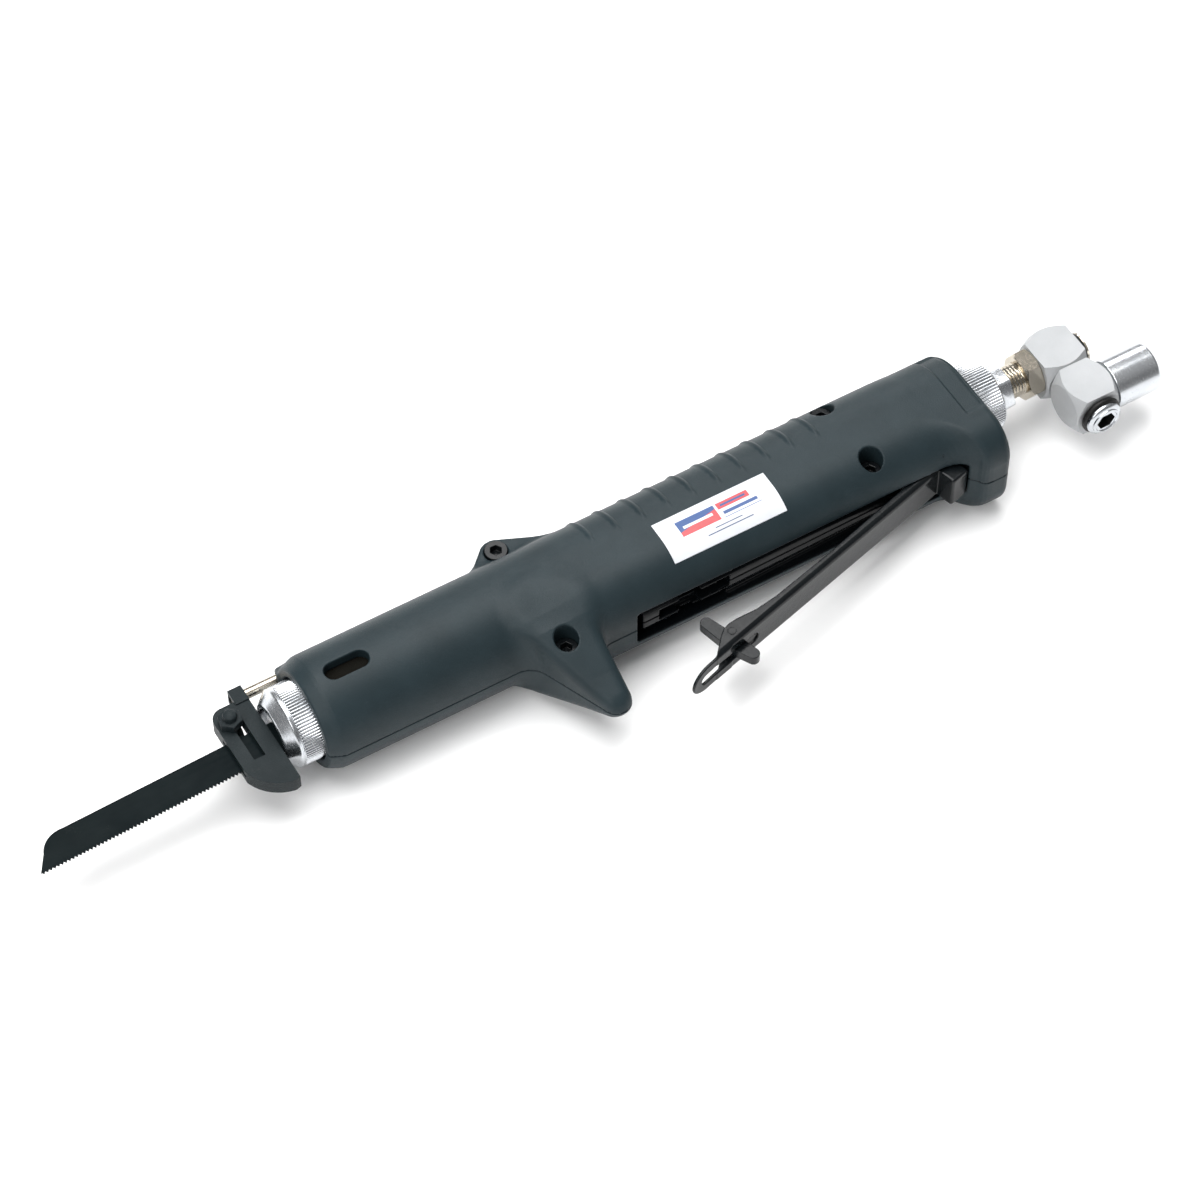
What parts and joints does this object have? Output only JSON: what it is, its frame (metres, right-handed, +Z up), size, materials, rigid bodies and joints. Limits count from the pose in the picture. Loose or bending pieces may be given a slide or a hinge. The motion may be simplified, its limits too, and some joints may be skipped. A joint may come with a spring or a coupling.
{
  "type": "pneumatic body saw",
  "caption": "Hand-held air saw lying on its side: split grip, knurled collar, short blade with sliding guard, throttle lever with safety latch, regulator and two-axis swivel air inlet.",
  "frame": {"origin": "in the middle of the flat side of the grip, on which the tool rests", "axes": "+X runs along the tool from the blade to the air inlet, +Y points to the ribbed spine, +Z points up from the resting side. The tool's axis is the line Y = 5 mm, Z = 21.5 mm"},
  "size_m": [0.4491, 0.0897, 0.0432],
  "materials": {
    "housing": "soft-touch black, slightly blue",
    "black_steel": "gloss black",
    "black_cast": "black oxide, fine cast grain",
    "blade_steel": "black blued",
    "aluminium": "bright turned",
    "nickel": "nickel plate",
    "steel": "ground",
    "brass": "turned",
    "rubber": "nitrile",
    "label": "printed sticker",
    "felt": "felt",
    "motor_black": "gloss black enamel"
  },
  "bodies": {
    "housing": {"left_housing_shell": "housing", "right_housing_shell": "housing", "housing_screws": "black_steel", "side_label": "label", "lever_pivot_pin": "steel", "nose_collar": "aluminium", "motor_body": "motor_black", "exhaust_silencer": "felt", "guide_bushing": "brass", "cylinder_liner": "steel", "valve_plate": "steel", "cylinder_head": "aluminium", "inlet_valve_body": "motor_black", "throttle_bushing": "brass", "inlet_bushing": "aluminium", "inlet_strainer": "brass", "inlet_adaptor": "nickel", "inner_o_ring": "rubber"},
    "striker": {"piston": "steel", "piston_seals": "rubber", "blade_holder": "steel", "blade_clamp_screws": "black_steel", "saw_blade": "blade_steel"},
    "guard": {"guide_rod": "nickel", "blade_guard": "black_cast", "guard_screw": "black_cast", "guard_nuts": "black_cast"},
    "lever": {"throttle_lever": "black_steel", "latch_pin": "black_steel", "latch_spring": "steel"},
    "latch": {"safety_latch": "black_steel"},
    "stem": {"throttle_stem": "steel"},
    "regulator": {"regulator_ring": "aluminium"},
    "inner_swivel": {"inner_swivel_block": "aluminium", "swivel_bolt": "aluminium", "outer_o_ring": "rubber"},
    "outer_swivel": {"outer_swivel_block": "aluminium", "outlet_sleeve": "aluminium"}
  },
  "joints": [
    {"name": "blade_stroke", "type": "slide", "parent": "housing", "child": "striker", "axis": [1, 0, 0], "range_m": [0, 0.01]},
    {"name": "guard_slide", "type": "slide", "parent": "housing", "child": "guard", "axis": [-1, 0, 0], "range_m": [0, 0.012]},
    {"name": "lever_hinge", "type": "hinge", "parent": "housing", "child": "lever", "pos_m": [0.069, -0.0174, 0.0215], "axis": [0, 0, -1], "range_deg": [0, 13], "stiffness_Nm_per_rad": 0.6, "springref_deg": -5.73},
    {"name": "latch_hinge", "type": "hinge", "parent": "lever", "child": "latch", "pos_m": [-0.03583, -0.04344, 0.0215], "axis": [0, 0, -1], "range_deg": [0, 78]},
    {"name": "throttle_slide", "type": "slide", "parent": "housing", "child": "stem", "axis": [0, 1, 0], "range_m": [0, 0.0036]},
    {"name": "regulator_turn", "type": "hinge", "parent": "housing", "child": "regulator", "pos_m": [0.098, 0.005, 0.0215], "axis": [1, 0, 0], "range_deg": [-135, 135]},
    {"name": "inner_swivel_turn", "type": "hinge", "parent": "housing", "child": "inner_swivel", "pos_m": [0.1332, 0.005, 0.0215], "axis": [1, 0, 0], "continuous": true},
    {"name": "outer_swivel_turn", "type": "hinge", "parent": "inner_swivel", "child": "outer_swivel", "pos_m": [0.1342, -0.0144, 0.0215], "axis": [0, 1, 0], "continuous": true}
  ],
  "couplings": [
    {"joint": "latch_hinge", "follows": "lever_hinge", "ratio": 6},
    {"joint": "throttle_slide", "follows": "lever_hinge", "m_per_rad": 0.0155}
  ]
}
